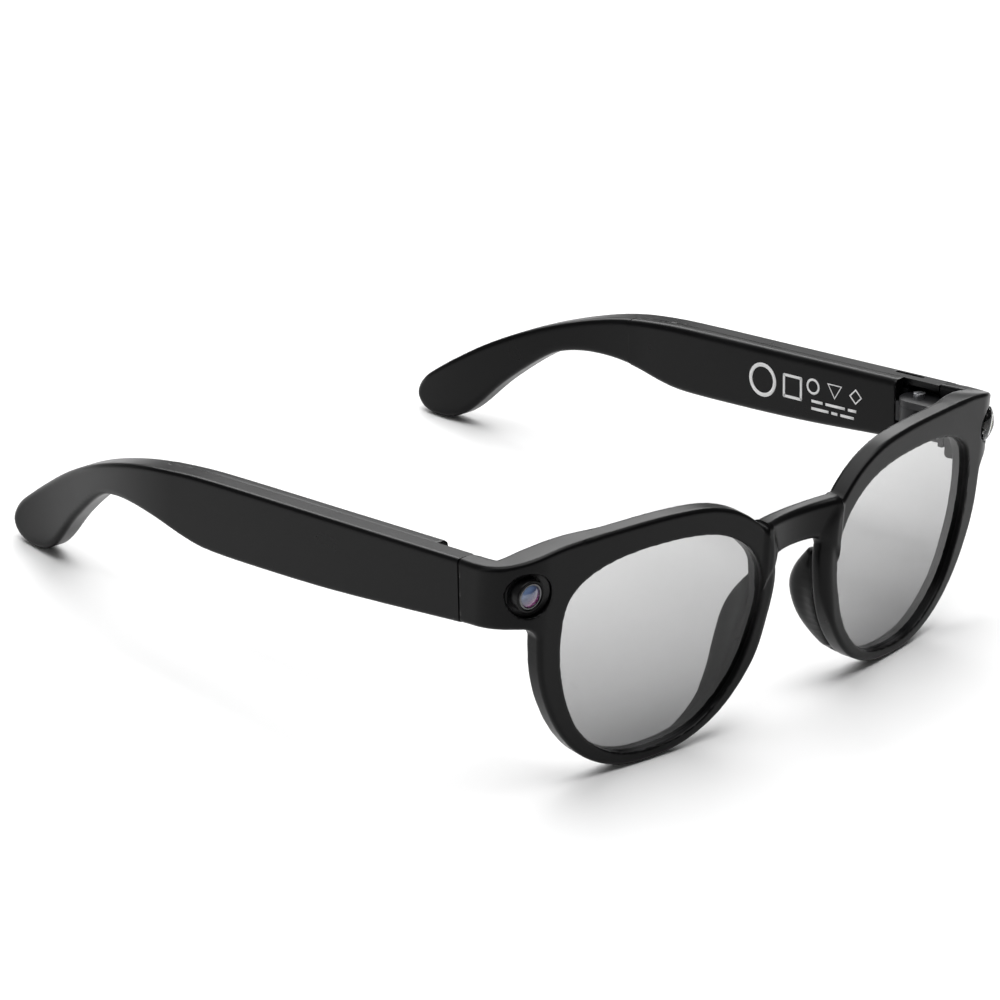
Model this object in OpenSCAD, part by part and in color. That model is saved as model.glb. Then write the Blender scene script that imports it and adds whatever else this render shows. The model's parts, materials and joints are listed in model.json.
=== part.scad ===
// Smart glasses: a moulded front with two lenses, a camera and an indicator
// lamp, and two folding temples that hold the electronics.
// Millimetres. +Z up, +Y towards the ends of the temples, -Y the way the wearer looks.
// The part stands on z = 0 on its two rims and its two temple tips.

/* [Front] */
// Half of the width over the end pieces
half_w = 72; // [69:0.5:75]
// Lens centre, sideways from the middle plane
lens_x = 35.5; // [34:0.1:37]
// Lens centre above the table
lens_z = 23.0; // [22.8:0.05:23.2]
// Wrap angle of each rim
wrap = 7.4; // [5:0.2:9]
// Thickness of the rims
rim_t = 3.9; // [3.4:0.1:4.4]
// Radius of the outer corner, seen from above
corner_r = 10; // [8:0.5:11]

/* [Temples] */
// Downward slope of the temples
slope = 5.47; // [4:0.1:7]
// Thickness of a temple, shell and cover
temple_t = 7.0; // [6.6:0.1:7.4]
// Thickness of the shell at the seam
shell_t = 4.1; // [3.9:0.1:4.4]
// How far the tips curve inwards
tip_in = 10.2; // [6:0.2:12]
// Gap between an end piece and its temple
split_gap = 0.25; // [0.2:0.05:0.4]

/* [Hinge] */
// Hinge axis from the outer face
hinge_in = 5.7; // [5.4:0.1:6]
// Radius of the hinge leaves
leaf_r = 4.1; // [3.6:0.1:4.2]
// Radius of the hinge screw's shank
screw_r = 0.8; // [0.7:0.05:0.9]
// Radial clearance of the knuckle on the screw
hinge_clear = 0.04; // [0.02:0.01:0.08]

/* [Camera] */
// Camera and lamp above the lens centre
eye_w = 17.2; // [16.8:0.1:17.6]
// Angle of the round recess on the corner, outwards from straight ahead
dish_turn = 21; // [18:1:24]
// Radius of the recess
dish_r = 4.3; // [4.1:0.1:4.5]
// Radius of the camera barrel
barrel_r = 3.1; // [2.8:0.1:3.2]

/* [Button] */
// Travel of the capture button
button_travel = 0.4; // [0.2:0.1:0.5]

/* [Hidden] */

y_lens = 6.2;                    // front of the rims at the lens centre, before centring
y_mid = 82.8;                    // centre of the part, front to back, before centring
lift = 0.14;                     // brings the lowest point to the table
pivot_x = half_w - hinge_in;
pivot_y = 28.3;
split_v = -4.0;                  // end face of the end pieces, in the temple's frame
top_z = 46.55 - pivot_y * tan(slope);
shell_x = half_w - shell_t;      // seam between shell and cover
cover_x = half_w - temple_t;     // inner face of the cover
lens_t = 1.9;
lens_y = 1.15;                   // front of the lens behind the front of the rim
leaf_t = 1.4;
leaf_top = -2.9;
knuckle_h = 4.2;
gap = 0.05;
black = [0.07, 0.07, 0.08];
dark = [0.16, 0.16, 0.17];
steel = [0.72, 0.73, 0.75];
grey = [0.42, 0.43, 0.45];
green = [0.05, 0.22, 0.14];

// ---------- curves ----------
// Points of a closed smooth curve through p, k steps for each point.
function cr(a, b, c, d, t) = 0.5 * ((2 * b) + (c - a) * t + (2 * a - 5 * b + 4 * c - d) * t * t
  + (3 * b - a - 3 * c + d) * t * t * t);
function loop_curve(p, k = 6) = let (n = len(p))
  [for (i = [0 : n - 1]) for (j = [0 : k - 1])
    cr(p[(i + n - 1) % n], p[i], p[(i + 1) % n], p[(i + 2) % n], j / k)];
// An open smooth curve through p.
function open_curve(p, k = 5) = let (n = len(p))
  [for (i = [0 : n - 2]) for (j = [0 : (i == n - 2 ? k : k - 1)])
    cr(p[max(i - 1, 0)], p[i], p[i + 1], p[min(i + 2, n - 1)], j / k)];
function unit(v) = v / norm(v);
// A closed counter-clockwise outline moved outwards by d.
function grow(p, d) = let (n = len(p)) [for (i = [0 : n - 1])
  let (t = unit(p[(i + 1) % n] - p[(i + n - 1) % n])) p[i] + d * [t[1], -t[0]]];
function arc(c, r, a0, a1, k) = [for (i = [0 : k]) let (a = a0 + (a1 - a0) * i / k)
  c + r * [cos(a), sin(a)]];

// Rim outlines about the lens centre, sideways outwards and up, counter-clockwise.
opening = loop_curve([[24.5, 7], [22.5, 15.3], [14, 19.6], [0, 20.7], [-13, 19.1], [-21.5, 13.8],
  [-24.5, 6.5], [-22.8, -3], [-18.5, -11.8], [-10.5, -18.7], [0, -20.9], [10, -19.4],
  [18.5, -13], [23.2, -3]]);
rim = loop_curve([[29.4, 5], [29.6, 14], [27.6, 22], [21, 25.2], [10, 25.8], [-2, 25.8],
  [-11.5, 24.8], [-19.5, 21.6], [-25.7, 16], [-28.6, 9], [-28.1, 2], [-25.8, -5.4],
  [-21.3, -12.7], [-15.4, -18.4], [-7.8, -22], [0, -23.1], [7, -22.8], [13.2, -20.8], [18.8, -17.2],
  [23.4, -12], [26.7, -6], [28.6, -0.5]]);

// Temple outline in the temple's frame, backwards and up, counter-clockwise.
temple_low = open_curve([[-8, -11.9], [0, -12.4], [16, -13.4], [32, -14.2], [48, -14.5],
  [64, -14.4], [71, -13.4], [79, -11.4], [87, -10.4], [95, -10.7], [102, -12.9],
  [113, -20.6], [121, -27.8], [126, -30.9], [131.5, -31.6], [136.2, -30.2],
  [137.9, -26.6], [135.2, -22.6]], 4);
temple_top = open_curve([[128, -18.1], [118, -12.6], [107, -7.8], [96, -4.2], [84, -1.5],
  [72, -0.3], [60, 0], [30, 0], [-8, 0]], 4);
temple_line = concat(temple_low, temple_top);
// How far the temple has curved inwards at distance v behind the hinge.
function curl(v) = v < 74 ? 0 : tip_in * (1 - cos(min(v - 74, 66) * 180 / 66)) / 2;
function thick(v) = temple_t - max(0, v - 70) * 0.024;
// Plan outline of a layer of the temple between two depths from the outer face.
function layer(d0, d1, v0, v1, n = 36) = concat(
  [for (i = [0 : n]) let (v = v0 + (v1 - v0) * i / n) [half_w - curl(v) - d0, v]],
  [for (i = [n : -1 : 0]) let (v = v0 + (v1 - v0) * i / n)
    [half_w - curl(v) - (d1 < 0 ? thick(v) + d1 : d1), v]]);

// ---------- placing ----------
module place() translate([0, -y_mid, lift]) children();
module left() place() children();
module right() place() mirror([1, 0, 0]) children();
// Frame of a rim: x sideways outwards, y backwards from its front face, z up.
module rim_frame() translate([lens_x, y_lens, lens_z]) rotate([0, 0, wrap]) children();
// Frame of a temple: y backwards along it from the hinge axis, z up from its top edge.
module temple_frame() translate([0, pivot_y, top_z]) rotate([-slope, 0, 0]) children();
// An outline in x and z, made solid between two depths.
module slab(p, y0, y1) translate([0, y1, 0]) rotate([90, 0, 0])
  linear_extrude(height = y1 - y0) polygon(p);
// An outline in y and z, made solid between two x.
module panel(p, x0, x1) translate([x0, 0, 0]) rotate([90, 0, 90])
  linear_extrude(height = x1 - x0) polygon(p);
module block(a, b) translate(a) cube(b - a);
// A rod along y between two depths.
module rod(r, y0, y1, n = 48) translate([0, y1, 0]) rotate([90, 0, 0])
  cylinder(r = r, h = y1 - y0, $fn = n);
// A flat-sided oval bar along y, w wide and h high.
module oval(w, h, y0, y1) union() {
  for (s = [-1, 1]) translate([s * (w - h) / 2, 0, 0]) rod(h / 2, y0, y1);
  block([-(w - h) / 2, y0, -h / 2], [(w - h) / 2, y1, h / 2]);
}

// ---------- front frame ----------
module rim_body() rim_frame() union() {
  slab(grow(rim, -0.9), 0, 0.35);
  slab(grow(rim, -0.35), 0.3, 0.85);
  slab(rim, 0.8, rim_t - 0.4);
  slab(grow(rim, -0.5), rim_t - 0.45, rim_t);
}
// Everything behind the outer face of the corner, d inside it.
function behind_corner(d) = concat([[-10, -5], [50, -5], [50, face_y(50) + d]],
  arc(arc_c, corner_r - d, -90 + wrap, 0, 14), [[half_w - d, 40], [-10, 40]]);
arc_c = [half_w - corner_r, y_lens + (corner_r + (half_w - corner_r - lens_x) * sin(wrap)) / cos(wrap)];
function face_y(x) = y_lens + (x - lens_x) * tan(wrap);
// Plan of an end piece, d inside its outer face.
function end_plan(d) = concat(
  [[44, face_y(44) + d]],
  arc(arc_c, corner_r - d, -90 + wrap, 0, 14),
  [[half_w - d, 34], [shell_x, 34], [shell_x, 18.6], [64, face_y(64) + 7.6], [58, face_y(58) + 6.0],
   [51, face_y(51) + 4.6], [44, face_y(44) + rim_t]]);
// Height of an end piece, seen along the corner's diagonal.
end_top = open_curve([[-16, 48.7], [-6, 48.65], [0, 48.4], [4, 47.8], [8, 46.7], [12, 45.5], [16, 44.7],
  [20, 44.25], [32, 44.0]], 4);
module end_limit(d) intersection() {
  translate([58, 10, 0]) rotate([0, 0, 45])
    slab(concat([[32, 20], [-16, 20]], [for (p = end_top) p - [0, d]]), -40, 40);
  panel([[0, 33.5 + d], [13, 33.4 + d], [24, 32.1 + d], [40, 30.6 + d], [40, 60], [0, 60]], 40, 80);
}
module end_body() intersection() {
  union() {
    intersection() { linear_extrude(height = 60) polygon(end_plan(0)); end_limit(0.55); }
    intersection() { linear_extrude(height = 60) polygon(end_plan(0.5)); end_limit(0.15); }
    intersection() { linear_extrude(height = 60) polygon(end_plan(1.1)); end_limit(0); }
  }
  block([44, 0, 0], [80, 60, 60]);
}
// Fillet between the rim and the lower edge of the end piece.
module end_fillet() rim_frame() translate([0, 0.8, 0]) difference() {
  block([26.5, 0, 5.5], [32.6, rim_t - 0.8, 10.8]);
  translate([33.0, 0, 7.3]) rod(3.2, -1, rim_t + 1, 64);
}
bridge_line = concat(
  [for (i = [-6 : 6]) let (x = i * 1.6) [x, 33.9 - 2.4 * pow(abs(x) / 9.6, 5)]],
  [for (i = [6 : -1 : -6]) let (x = i * 1.6) [x, 41.0 + 0.5 * pow(abs(x) / 9.6, 2)]]);
function bridge_plan(d) = concat(
  [for (i = [-6 : 6]) let (x = i * 1.6) [x, 4.7 - 0.019 * x * x + d]],
  [for (i = [6 : -1 : -6]) let (x = i * 1.6) [x, 8.4 - 0.014 * x * x - d]]);
module bridge_body() union() {
  intersection() {
    linear_extrude(height = 60) polygon(bridge_plan(0));
    slab(grow(bridge_line, -0.45), 0, 20);
  }
  intersection() {
    linear_extrude(height = 60) polygon(bridge_plan(0.45));
    slab(bridge_line, 0, 20);
  }
}
module front_side() difference() {
  union() {
    intersection() { rim_body(); translate([0, 0, -5]) linear_extrude(height = 65) polygon(behind_corner(0.2)); }
    intersection() { end_fillet(); translate([0, 0, -5]) linear_extrude(height = 65) polygon(behind_corner(0.5)); }
    end_body();
  }
  rim_frame() {
    slab(opening, -2, 30);
    slab(grow(opening, 0.6), lens_y - gap, lens_y + lens_t + gap);
  }
  at_eye() rod(barrel_r + 0.1, -4, 6);
  temple_frame() {
    block([40, split_v, -30], [90, 30, 20]);                 // end face at the split
    block([50, -9.2, -30], [shell_x, 30, 20]);               // room for the hinge
    block([shell_x - 1, -8.3, -9.1], [shell_x + 1.3, -5.2, -4.1]);   // seat of the bracket's tang
  }
  end_pocket(0);
}
// Room for the camera or the lamp inside the end piece, closed from behind.
module end_pocket(d) at_eye() block([-5.2 + d, 3.9, -4.1 + d], [2.5 - d, 6.4, 4.1 - d]);
module front_frame() color(black) difference() {
  union() { left() front_side(); right() front_side(); place() bridge_body(); }
  right() at_dish() rod(dish_r, -4, 2.1);
  left() at_dish() rod(3.7, -4, 1.3);
  right() end_cover_seat(0);
  left() end_cover_seat(0);
}
// Plate that closes the pocket, let into the back of the end piece.
module end_cover_seat(d) at_eye() block([-5.8 + d, 6.3, -4.6 + d], [2.9 - d, 7.5, 4.6 - d]);
module end_cover() intersection() { end_cover_seat(gap);
  linear_extrude(height = 60) polygon(end_plan(0)); temple_frame() block([40, -40, -30], [90, -9.25, 20]); }
module end_cover_right() color(dark) right() end_cover();
module end_cover_left() color(dark) left() end_cover();

// ---------- lenses and nose pads ----------
module lens() rim_frame() union() {
  slab(grow(opening, 0.5), lens_y, lens_y + lens_t);
  slab(grow(opening, -1.2), lens_y - 0.25, lens_y + lens_t + 0.15);
}
module lens_right() color([0.5, 0.5, 0.52, 0.45]) right() lens();
module lens_left() color([0.5, 0.5, 0.52, 0.45]) left() lens();
module pad() rim_frame() intersection() {
  hull() {
    translate([-26.6, 4.8, 5.2]) sphere(r = 1.3, $fn = 28);
    translate([-24.5, 8.2, -2.0]) sphere(r = 1.9, $fn = 28);
    translate([-22.2, 7.7, -8.0]) sphere(r = 1.8, $fn = 28);
    translate([-16.4, 4.8, -15.8]) sphere(r = 1.3, $fn = 28);
    translate([-25.0, 3.8, 0]) sphere(r = 1.6, $fn = 28);
    translate([-20.6, 3.8, -10]) sphere(r = 1.5, $fn = 28);
  }
  block([-40, rim_t, -30], [0, 20, 20]);
}
module nose_pad_right() color(black) right() pad();
module nose_pad_left() color(black) left() pad();

// ---------- camera and lamp ----------
// Where the camera or lamp meets the outer corner, and the two ways it is turned.
eye_at = [half_w - 5.1, arc_c[1] - sqrt(pow(corner_r, 2) - pow(corner_r - 5.1, 2)), 0];
module at_eye() translate(eye_at + [0, 0, lens_z + eye_w]) rotate([0, 0, wrap]) children();
module at_dish() translate(eye_at + [0, 0, lens_z + eye_w]) rotate([0, 0, dish_turn]) children();
module camera_bezel() color(black) right() difference() {
  at_dish() rod(dish_r - 0.05, 1.35, 2.05);
  at_dish() rod(dish_r - 0.5, 1.0, 1.6);
  at_eye() rod(barrel_r + 0.05, -2, 6);
}
module camera_barrel() color(black) right() at_eye() difference() {
  union() { rod(barrel_r, 0.1, 3.8); rod(barrel_r - 0.3, -0.2, 0.2); }
  rod(2.2, -1, 2.4);
  rod(2.6, -1, 0.4);
  rod(1.5, 2, 6);
}
module camera_ring() color(steel) right() at_eye() difference() {
  rod(2.57, -0.3, 0.4);
  rod(2.1, -1, 1);
}
module camera_lens() color([0.12, 0.1, 0.3]) right() at_eye() union() {
  rod(2.07, 0.1, 1.1);
  intersection() { translate([0, 3.75, 0]) rotate([90, 0, 0]) sphere(r = 4.1, $fn = 72);
    rod(2.07, -0.6, 0.15); }
}
module camera_module() color(dark) right() at_eye() block([-3.9, 3.95, -3.3], [2.2, 5.5, 3.3]);
module camera_board() color(green) right() at_eye() union() {
  block([-4.9, 5.55, -3.6], [2.3, 6.1, 3.6]);
  block([-4.9, 4.4, -2.4], [-4.1, 5.6, 2.4]);
}
module lamp_window() color([0.8, 0.8, 0.78, 0.6]) left() at_dish() union() {
  rod(3.35, -0.2, 1.2);
  intersection() { translate([0, 3.75, 0]) rotate([90, 0, 0]) sphere(r = 5.2, $fn = 80);
    rod(3.35, -1.5, -0.15); }
}
module lamp_gasket() color(black) left() at_dish() difference() {
  rod(3.65, 0.1, 1.25);
  rod(3.4, 0, 3);
}
module lamp_chip() color([0.85, 0.8, 0.35]) left() at_eye() union() {
  block([-1.1, 2.7, -0.9], [1.1, 3.6, 0.9]);
  block([-1.6, 3.55, -1.4], [1.6, 4.6, 1.4]);
}
module lamp_board() color(green) left() at_eye() block([-4.6, 4.65, -3.4], [2.2, 5.4, 3.4]);

// ---------- hinges ----------
module at_pivot() temple_frame() translate([pivot_x, 0, 0]) children();
module leaf(h0) translate([0, 0, h0]) difference() {
  union() {
    cylinder(r = leaf_r, h = leaf_t, $fn = 72);
    block([-leaf_r, -8.4, 0], [shell_x - pivot_x - 0.1, 0, leaf_t]);
  }
  translate([0, 0, -1]) cylinder(r = screw_r, h = leaf_t + 2, $fn = 48);
}
low_leaf = leaf_top - leaf_t - knuckle_h - 2 * gap - leaf_t;
module hinge_front() at_pivot() union() {
    leaf(leaf_top - leaf_t);
    leaf(low_leaf);
    block([-leaf_r, -9.2, low_leaf - 0.8], [shell_x - pivot_x - 0.1, -8.0, leaf_top + 0.3]);
    block([0, -8.25, -9.05], [shell_x - pivot_x + 1.25, -5.25, -4.15]);
}
module hinge_front_right() color(dark) right() hinge_front();
module hinge_front_left() color(dark) left() hinge_front();
module hinge_screw() at_pivot() difference() {
  union() {
    translate([0, 0, low_leaf - 0.3]) cylinder(r = screw_r, h = leaf_top - low_leaf + 0.5, $fn = 48);
    translate([0, 0, leaf_top]) cylinder(r = 1.25, h = 0.95, $fn = 48);
  }
  translate([-2, -0.15, leaf_top + 0.55]) cube([4, 0.3, 1]);
}
module hinge_screw_right() color(steel) right() hinge_screw();
module hinge_screw_left() color(steel) left() hinge_screw();
module hinge_temple() at_pivot() difference() {
  union() {
    translate([0, 0, leaf_top - leaf_t - gap - knuckle_h]) {
      cylinder(r = leaf_r, h = knuckle_h, $fn = 72);
      block([-1.2, 0, 0], [2.2, 5.15, knuckle_h]);
    }
    block([1.65, 4.25, -9.85], [2.65, 13.9, -2.4]);
  }
  translate([0, 0, -20]) cylinder(r = screw_r + hinge_clear, h = 30, $fn = 48);
  for (h = [-4, -8.6]) translate([0, 11.6, h]) rotate([0, 90, 0]) cylinder(r = 0.55, h = 6, $fn = 32);
}
module hinge_temple_right() color(dark) right() hinge_temple();
module hinge_temple_left() color(dark) left() hinge_temple();

// ---------- temples ----------
module temple_part(d0, d1, g, v0, v1) intersection() {
  panel(grow(temple_line, g), 40, 90);
  translate([0, 0, -50]) linear_extrude(height = 70) polygon(layer(d0, d1, v0, v1));
}
front_v = split_v + split_gap;
tip_v = 79;                      // the cover ends here and the tip is solid behind it
module shell() temple_frame() difference() {
  union() {
    temple_part(0, shell_t, -0.6, front_v, 142);
    temple_part(0.2, shell_t, -0.2, front_v, 142);
    temple_part(0.6, shell_t, 0, front_v, 142);
    temple_part(shell_t - 0.2, -0.6, 0, tip_v, 142);
    temple_part(shell_t - 0.2, -0.01, -0.6, tip_v, 142);
  }
  // hollow for the electronics
  panel([[6, -11.4], [34, -12.9], [62, -13.2], [70, -12.2], [75, -11], [75, -1.3], [6, -1.3]],
    shell_x - 1, half_w - 1.2);
  // room for the hinge
  panel([[-9, -11.2], [7, -11.4], [7, -1.3], [-9, -1.3]], shell_x - 1, half_w - 1.2);
  // groove for the core wire of the tip
  translate([half_w - 3.4, 74, -6]) rotate([-90, 0, 0]) cylinder(r = 0.75, h = 14, $fn = 32);
}
module boss(v, h, x) temple_frame() translate([half_w - 1.0, v, h]) rotate([0, -90, 0]) difference() {
  cylinder(r = 1.5, h = half_w - 1.0 - x, $fn = 40);
  translate([0, 0, 0.4]) cylinder(r = 0.55, h = 8, $fn = 32);
}
module shell_with_bosses() union() {
  shell();
  boss(11.6, -4, pivot_x + 2.65); boss(11.6, -8.6, pivot_x + 2.65);
  for (p = cover_screw_at) boss(p[0], p[1], cover_x + 1.05);
}
module right_slots() temple_frame() {
  // slot for the button in the lower wall
  at_button() translate([0, 0, -3]) linear_extrude(height = 6) button_plan(0.08);
  speaker_slots();
}
module at_button() translate([half_w - 2.6, 15.7, -13.38]) rotate([-3.4, 0, 0]) children();
module speaker_slots() for (i = [0 : 4]) translate([half_w - 2.6, 57 + 2.2 * i, -20])
  linear_extrude(height = 9) { square([1.4, 0.9], center = true); }
module button_plan(g) union() {
  square([2.0 + 2 * g, 4.4], center = true);
  for (s = [-1, 1]) translate([0, s * 2.2]) circle(r = 1.0 + g, $fn = 48);
}
module temple_shell_right() color(black) right() difference() { shell_with_bosses(); right_slots(); }
module temple_shell_left() color(black) left() difference() {
  shell_with_bosses();
  temple_frame() {
    speaker_slots();
    // slot in the top wall over the microphone
    translate([half_w - 1.7, 5.6, -5]) linear_extrude(height = 10) slot_plan(0);
  }
}
module slot_plan(g) union() {
  square([0.9 + 2 * g, 6.4], center = true);
  for (s = [-1, 1]) translate([0, s * 3.2]) circle(r = 0.45 + g, $fn = 32);
}
cover_v = 5.3;
module cover() temple_frame() difference() {
  union() {
    temple_part(shell_t + 0.02, temple_t, -1.2, cover_v, tip_v - 0.1);
    temple_part(shell_t + 0.02, temple_t - 0.7, -0.45, cover_v + 0.3, tip_v - 0.1);
    temple_part(shell_t + 0.02, temple_t - 1.6, -0.05, cover_v + 0.6, tip_v - 0.1);
  }
  // shallow hollow on its outer side
  panel([[8, -10.9], [34, -12.4], [62, -12.7], [69, -11.9], [74, -10.6], [74, -2.0], [8, -2.0]],
    cover_x + 1.0, shell_x + 1);
  for (p = cover_screw_at) translate([cover_x - 1, p[0], p[1]]) rotate([0, 90, 0]) {
    cylinder(r = 0.62, h = 6, $fn = 32);
    cylinder(r = 1.15, h = 1.5, $fn = 32);
  }
}
cover_screw_at = [[24, -3.9], [71, -5.2]];
module screws() temple_frame() for (p = cover_screw_at) translate([cover_x + 0.1, p[0], p[1]])
  rotate([0, 90, 0]) difference() {
    union() { cylinder(r = 1.1, h = 0.4, $fn = 32); cylinder(r = 0.55, h = 3.4, $fn = 32); }
    translate([-0.7, -0.12, -0.5]) cube([1.4, 0.24, 0.7]);
  }
module temple_cover_right() color(black) right() difference() {
  cover();
  temple_frame() for (i = [0 : 3]) translate([cover_x - 1, 13.6 + 2.6 * i, -8]) rotate([0, 90, 0])
    cylinder(r = 0.95, h = 3, $fn = 32);
}
module temple_cover_left() color(black) left() cover();
module cover_screws_right() color(steel) right() screws();
module cover_screws_left() color(steel) left() screws();
module core_wire() temple_frame() translate([half_w - 3.4, 75, -6]) rotate([-90, 0, 0])
  cylinder(r = 0.7, h = 12.5, $fn = 32);
module core_wire_right() color(steel) right() core_wire();
module core_wire_left() color(steel) left() core_wire();

// ---------- electronics ----------
module in_temple(a, b) temple_frame() block([half_w - a[0], a[1], a[2]], [half_w - b[0], b[1], b[2]]);
module battery() in_temple([5.9, 27, -11.6], [1.9, 54, -2.6]);
module battery_right() color(grey) right() battery();
module battery_left() color(grey) left() battery();
module board(low) difference() {
  in_temple([4.5, 15.2, low], [3.7, 26.4, -2.6]);
  temple_frame() translate([cover_x, cover_screw_at[0][0], cover_screw_at[0][1]]) rotate([0, 90, 0])
    cylinder(r = 1.6, h = 10, $fn = 40);
}
module main_board() color(green) right() board(-10.2);
module board_chips() color(dark) right() union() {
  in_temple([3.65, 16.0, -7.6], [2.7, 20.4, -3.2]);
  in_temple([3.65, 21.4, -9.6], [3.0, 25, -6.6]);
}
module sub_board() color(green) left() board(-10.6);
module speaker() in_temple([5.8, 56, -11.9], [1.6, 67, -3.0]);
module speaker_right() color(dark) right() speaker();
module speaker_left() color(dark) left() speaker();
module grille() temple_frame() translate([half_w - 2.6, 61.4, -12.55]) linear_extrude(height = 0.4)
  square([2.2, 11], center = true);
module speaker_grille_right() color(grey) right() grille();
module speaker_grille_left() color(grey) left() grille();
module slot_mesh() color(dark) left() in_temple([2.6, 1.8, -1.65], [1.25, 9.4, -1.3]);
module microphone() color(grey) left() in_temple([2.9, 5.0, -2.7], [1.3, 8.8, -1.7]);
module touch_sensor() color([0.55, 0.36, 0.12]) right() in_temple([1.5, 27, -10.5], [1.25, 54, -3]);
module button_switch() color(grey) right() temple_frame() union() {
  at_button() translate([-1.1, -1.6, 2.75]) cube([2.2, 3.2, 0.7]);
  at_button() translate([0, 0, 2.05 + button_travel]) cylinder(r = 0.6, h = 0.4, $fn = 32);
}
module capture_button() color(dark) right() temple_frame() at_button() union() {
  translate([0, 0, -0.35]) linear_extrude(height = 1.95) button_plan(0);
  translate([0, 0, 1.6]) linear_extrude(height = 0.4) button_plan(0.28);
}
module charge_contacts() color([0.85, 0.68, 0.3]) right() temple_frame() for (i = [0 : 3])
  translate([cover_x + 0.1, 13.6 + 2.6 * i, -8]) rotate([0, 90, 0]) union() {
    cylinder(r = 0.9, h = 0.85, $fn = 32);
    translate([0, 0, -0.25]) cylinder(r = 0.6, h = 0.3, $fn = 32);
  }
module charge_magnets() color(steel) right() temple_frame() for (v = [10.4, 24.6])
  translate([cover_x + 1.0, v, -8]) rotate([0, 90, 0]) cylinder(r = 1.4, h = 1.2, $fn = 40);

front_frame();
lens_right();
lens_left();
nose_pad_right();
nose_pad_left();
end_cover_right();
end_cover_left();
camera_bezel();
camera_barrel();
camera_ring();
camera_lens();
camera_module();
camera_board();
lamp_window();
lamp_gasket();
lamp_chip();
lamp_board();
hinge_front_right();
hinge_front_left();
hinge_screw_right();
hinge_screw_left();
temple_shell_right();
temple_cover_right();
hinge_temple_right();
battery_right();
main_board();
board_chips();
speaker_right();
speaker_grille_right();
touch_sensor();
button_switch();
charge_contacts();
charge_magnets();
core_wire_right();
cover_screws_right();
capture_button();
temple_shell_left();
temple_cover_left();
hinge_temple_left();
battery_left();
sub_board();
speaker_left();
speaker_grille_left();
slot_mesh();
microphone();
core_wire_left();
cover_screws_left();
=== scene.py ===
"""Looks of the smart glasses: moulded shells, lenses, camera, lamp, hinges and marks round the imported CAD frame."""

import json
import math

import bmesh
import bpy
import numpy as np
from mathutils import Matrix, Vector

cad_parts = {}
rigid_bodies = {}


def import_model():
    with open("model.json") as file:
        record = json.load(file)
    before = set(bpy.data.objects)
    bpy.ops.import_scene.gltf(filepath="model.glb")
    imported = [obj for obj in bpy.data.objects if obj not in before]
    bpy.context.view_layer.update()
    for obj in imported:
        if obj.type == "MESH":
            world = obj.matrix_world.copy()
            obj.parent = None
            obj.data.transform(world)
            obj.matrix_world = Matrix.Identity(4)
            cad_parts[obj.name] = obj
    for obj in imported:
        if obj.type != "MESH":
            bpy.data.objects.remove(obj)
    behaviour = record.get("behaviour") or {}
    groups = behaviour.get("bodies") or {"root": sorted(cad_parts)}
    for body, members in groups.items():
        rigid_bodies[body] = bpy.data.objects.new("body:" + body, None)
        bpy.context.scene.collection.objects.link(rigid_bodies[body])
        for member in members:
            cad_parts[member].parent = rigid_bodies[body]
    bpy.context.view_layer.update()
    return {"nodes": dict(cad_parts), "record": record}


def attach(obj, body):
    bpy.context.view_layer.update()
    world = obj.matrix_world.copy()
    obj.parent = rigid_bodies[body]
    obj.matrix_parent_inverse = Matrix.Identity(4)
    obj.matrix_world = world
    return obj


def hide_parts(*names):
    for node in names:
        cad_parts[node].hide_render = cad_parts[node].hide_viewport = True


# a plain Blender start leaves its own cube, lamp and camera in the scene
for left_over in list(bpy.data.objects):
    bpy.data.objects.remove(left_over)
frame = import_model()
nodes = frame["nodes"]
scene = bpy.context.scene

# ---------- measures of the part, in millimetres before it is centred ----------
HALF_W, LENS_X, LENS_Z, WRAP = 72.0, 35.5, 23.0, math.radians(7.4)
RIM_T, CORNER_R, Y_LENS, Y_MID, LIFT = 3.9, 10.0, 6.2, 82.8, 0.14
SLOPE, PIVOT_Y = math.radians(5.47), 28.3
TOP_Z = 46.55 - PIVOT_Y * math.tan(SLOPE)
TEMPLE_T, SHELL_T, TIP_IN, SPLIT_V, SPLIT_GAP = 7.0, 4.1, 10.2, -4.0, 0.25
SHELL_X = HALF_W - SHELL_T
COVER_X = HALF_W - TEMPLE_T
PIVOT_X = HALF_W - 5.7
EYE_W, DISH_TURN, DISH_R, BARREL_R = 17.2, math.radians(21), 4.3, 3.1
LENS_T, LENS_Y = 1.9, 1.15
COVER_V, TIP_V = 5.3, 79.0
EYE_IN = 5.1  # from the side of the front in to the axis of the camera or the lamp


# ---------- curves ----------
def through(points, closed=True, k=14):
    """Points of a smooth curve through the given points."""
    p = np.array(points, float)
    n = len(p)
    out = []
    for i in range(n if closed else n - 1):
        if closed:
            a, b, c, d = (p[(i + j) % n] for j in (-1, 0, 1, 2))
        else:
            a, b, c, d = p[max(i - 1, 0)], p[i], p[i + 1], p[min(i + 2, n - 1)]
        for j in range(k):
            t = j / k
            cubic = (2 * a - 5 * b + 4 * c - d) * t * t + (3 * b - a - 3 * c + d) * t**3
            out.append(0.5 * (2 * b + (c - a) * t + cubic))
    if not closed:
        out.append(p[-1])
    return np.array(out)


def evened(loop, size=0.8):
    """A closed loop again, with its points a fixed distance apart and its corners slightly softened."""
    closed = np.vstack([loop, loop[:1]])
    run = np.concatenate([[0], np.cumsum(np.linalg.norm(np.diff(closed, axis=0), axis=1))])
    n = int(run[-1] / size)
    t = np.linspace(0, run[-1], n, endpoint=False)
    p = np.stack([np.interp(t, run, closed[:, i]) for i in (0, 1)], 1)
    for _ in range(6):
        p = 0.5 * p + 0.25 * (np.roll(p, 1, 0) + np.roll(p, -1, 0))
    return p


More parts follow.
